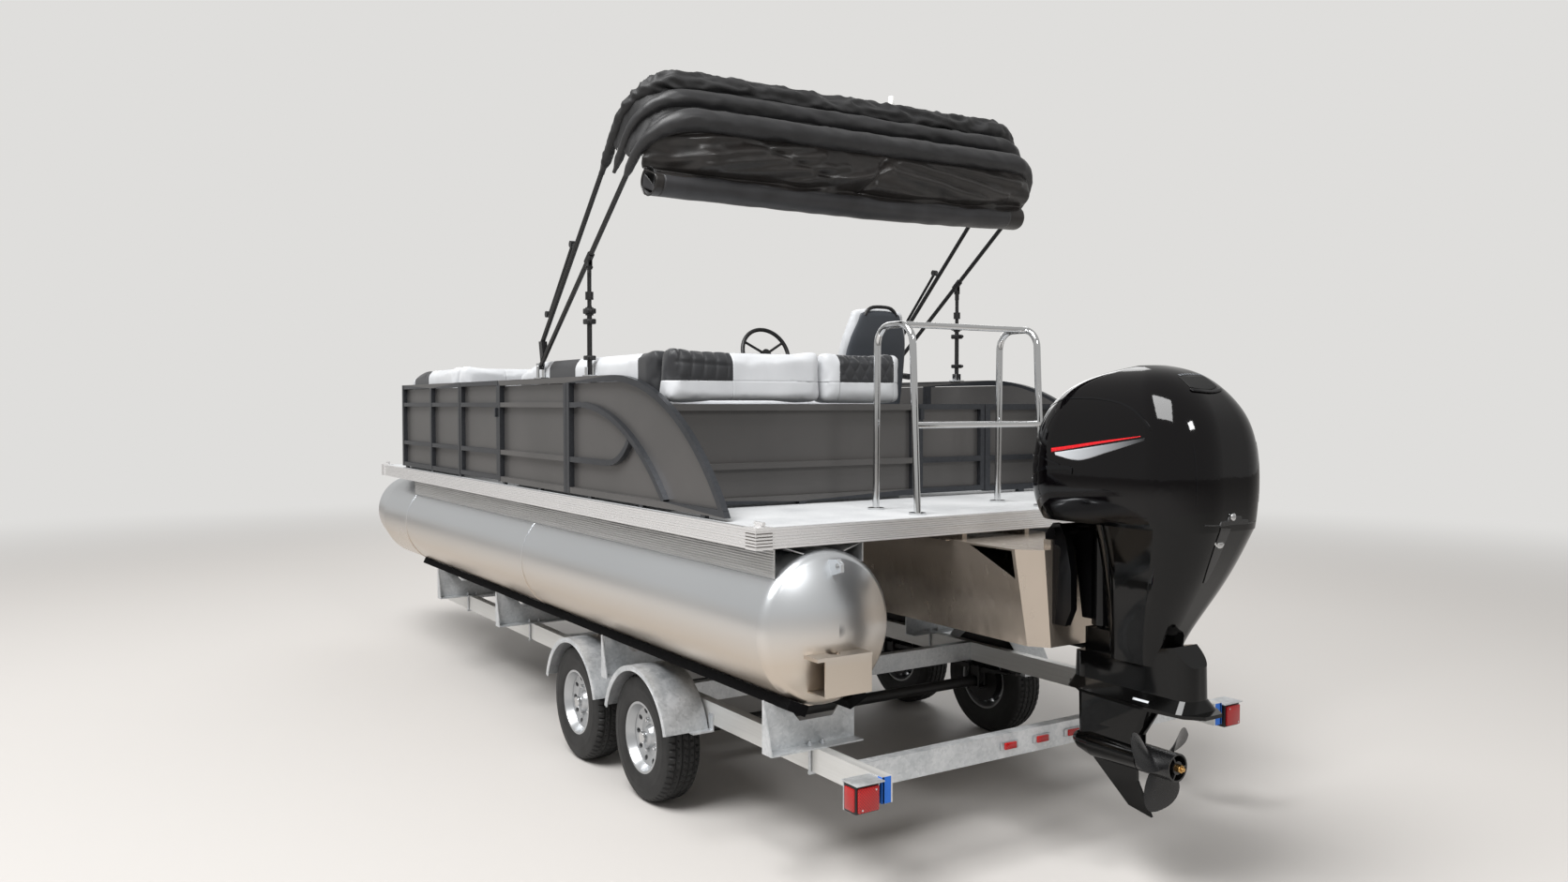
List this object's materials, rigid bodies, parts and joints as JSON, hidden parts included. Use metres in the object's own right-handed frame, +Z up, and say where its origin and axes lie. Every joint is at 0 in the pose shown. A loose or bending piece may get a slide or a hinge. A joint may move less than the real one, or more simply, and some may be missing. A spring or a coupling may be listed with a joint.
{
  "type": "pontoon boat on a tandem-axle trailer",
  "caption": "Pontoon boat with railed deck, seats, helm, folded sun top and tilting outboard engine, cradled on a braked road trailer with jack.",
  "frame": {"origin": "on the ground, under the middle of the whole outline", "axes": "+X to the bow and the trailer's coupler, +Y to port, +Z up"},
  "size_m": [8.6066, 2.59, 3.592],
  "materials": {
    "float_metal": "mill finish",
    "pod_metal": "polished",
    "frame_metal": "mill finish",
    "rail_trim": "anodised, grooved",
    "deck_cover": "textured vinyl",
    "fence_rail": "satin anodised",
    "fence_sheet": "metallic satin",
    "polished_steel": "polished",
    "seat_shell": "moulded",
    "seat_vinyl": "vinyl, grained",
    "console_shell": "gloss",
    "black_plastic": "grained",
    "bow_tube": "satin black",
    "canopy_cloth": "woven acrylic",
    "engine_gloss": "gloss black",
    "engine_metal": "gloss black",
    "bracket_black": "satin black",
    "propeller_paint": "satin black",
    "engine_block": "plain",
    "trailer_metal": "extruded, weathered",
    "zinc_steel": "zinc coated",
    "axle_paint": "satin black",
    "bunk_carpet": "carpet",
    "lamp_red": "clear red",
    "lamp_clear": "white",
    "tyre_rubber": "rubber",
    "rim_steel": "silver paint"
  },
  "bodies": {
    "boat": {"tube_port": "float_metal", "tube_starboard": "float_metal", "tube_eyes": "float_metal", "tube_boxes": "float_metal", "motor_pod": "pod_metal", "deck": "deck_cover", "deck_frame": "frame_metal", "side_skirts": "frame_metal", "rub_rail": "rail_trim", "corner_caps": "rail_trim", "fence_port": "fence_rail", "fence_starboard": "fence_rail", "fence_ends": "fence_rail", "fence_panels": "fence_sheet", "seat_bases": "seat_shell", "bench_cushions": "seat_vinyl", "lounge_cushions": "seat_vinyl", "helm_pedestal": "polished_steel", "helm_console": "console_shell", "steering_wheel": "black_plastic", "stern_rail": "polished_steel", "top_mounts": "polished_steel", "transom_clamp": "bracket_black", "trailer_rails": "trailer_metal", "trailer_cross_members": "zinc_steel", "trailer_tongue": "zinc_steel", "coupler": "zinc_steel", "jack_tube": "zinc_steel", "winch_post": "zinc_steel", "axles": "axle_paint", "fenders": "zinc_steel", "bunks": "bunk_carpet", "bunk_brackets": "zinc_steel", "tail_lights": "lamp_red"},
    "wheel_port_rear": {"tyre_port_rear": "tyre_rubber", "rim_port_rear": "rim_steel"},
    "wheel_starboard_rear": {"tyre_starboard_rear": "tyre_rubber", "rim_starboard_rear": "rim_steel"},
    "wheel_port_front": {"tyre_port_front": "tyre_rubber", "rim_port_front": "rim_steel"},
    "wheel_starboard_front": {"tyre_starboard_front": "tyre_rubber", "rim_starboard_front": "rim_steel"},
    "jack": {"jack_leg": "zinc_steel"},
    "side_gate": {"gate_port": "fence_rail"},
    "bow_gate": {"gate_bow": "fence_rail"},
    "stern_gate": {"gate_stern": "fence_rail"},
    "chair": {"helm_chair": "seat_vinyl"},
    "sun_top": {"top_main_bow": "bow_tube", "top_rear_bow": "bow_tube", "top_canopy": "canopy_cloth", "anchor_light": "lamp_clear"},
    "brace_port": {"top_brace_port": "bow_tube"},
    "brace_starboard": {"top_brace_starboard": "bow_tube"},
    "tilt_bracket": {"swivel_bracket": "bracket_black"},
    "engine": {"mid_section": "engine_metal", "cowl_lower": "engine_metal", "cowl_upper": "engine_gloss", "powerhead": "engine_block", "gearcase": "engine_metal"},
    "screw": {"propeller": "propeller_paint"}
  },
  "joints": [
    {"name": "spin_port_rear", "type": "hinge", "parent": "boat", "child": "wheel_port_rear", "pos_m": [-1.8675, 1.112, 0.311], "axis": [0, 1, 0], "continuous": true},
    {"name": "spin_starboard_rear", "type": "hinge", "parent": "boat", "child": "wheel_starboard_rear", "pos_m": [-1.8675, -1.112, 0.311], "axis": [0, 1, 0], "continuous": true},
    {"name": "spin_port_front", "type": "hinge", "parent": "boat", "child": "wheel_port_front", "pos_m": [-1.0685, 1.112, 0.311], "axis": [0, 1, 0], "continuous": true},
    {"name": "spin_starboard_front", "type": "hinge", "parent": "boat", "child": "wheel_starboard_front", "pos_m": [-1.0685, -1.112, 0.311], "axis": [0, 1, 0], "continuous": true},
    {"name": "jack_lift", "type": "slide", "parent": "boat", "child": "jack", "axis": [0, 0, 1], "range_m": [0, 0.25]},
    {"name": "side_gate_swing", "type": "hinge", "parent": "boat", "child": "side_gate", "pos_m": [0.7295, 1.217, 1.7], "axis": [0, 0, 1], "range_deg": [0, 88]},
    {"name": "bow_gate_swing", "type": "hinge", "parent": "boat", "child": "bow_gate", "pos_m": [2.1175, 0.347, 1.7], "axis": [0, 0, 1], "range_deg": [-88, 0]},
    {"name": "stern_gate_swing", "type": "hinge", "parent": "boat", "child": "stern_gate", "pos_m": [-2.2045, -0.682, 1.7], "axis": [0, 0, 1], "range_deg": [-88, 0]},
    {"name": "chair_swivel", "type": "hinge", "parent": "boat", "child": "chair", "pos_m": [-0.9775, -0.7, 1.77], "axis": [0, 0, 1], "continuous": true},
    {"name": "top_raise", "type": "hinge", "parent": "boat", "child": "sun_top", "pos_m": [-0.6935, 0, 2.14], "axis": [0, 1, 0], "range_deg": [0, 50]},
    {"name": "brace_port_swing", "type": "hinge", "parent": "sun_top", "child": "brace_port", "pos_m": [-1.3805, 1.241, 2.6308], "axis": [0, 1, 0], "range_deg": [-50, 0]},
    {"name": "brace_starboard_swing", "type": "hinge", "parent": "sun_top", "child": "brace_starboard", "pos_m": [-1.3805, -1.241, 2.6308], "axis": [0, 1, 0], "range_deg": [-50, 0]},
    {"name": "engine_tilt", "type": "hinge", "parent": "boat", "child": "tilt_bracket", "pos_m": [-3.5725, 0, 1.411], "axis": [0, 1, 0], "range_deg": [0, 60]},
    {"name": "engine_steer", "type": "hinge", "parent": "tilt_bracket", "child": "engine", "pos_m": [-3.6825, 0, 1.25], "axis": [0, 0, 1], "range_deg": [-30, 30]},
    {"name": "propeller_spin", "type": "hinge", "parent": "engine", "child": "screw", "pos_m": [-3.9775, 0, 0.54], "axis": [1, 0, 0], "continuous": true}
  ],
  "couplings": [
    {"joint": "brace_port_swing", "follows": "top_raise", "ratio": -1},
    {"joint": "brace_starboard_swing", "follows": "top_raise", "ratio": -1}
  ]
}
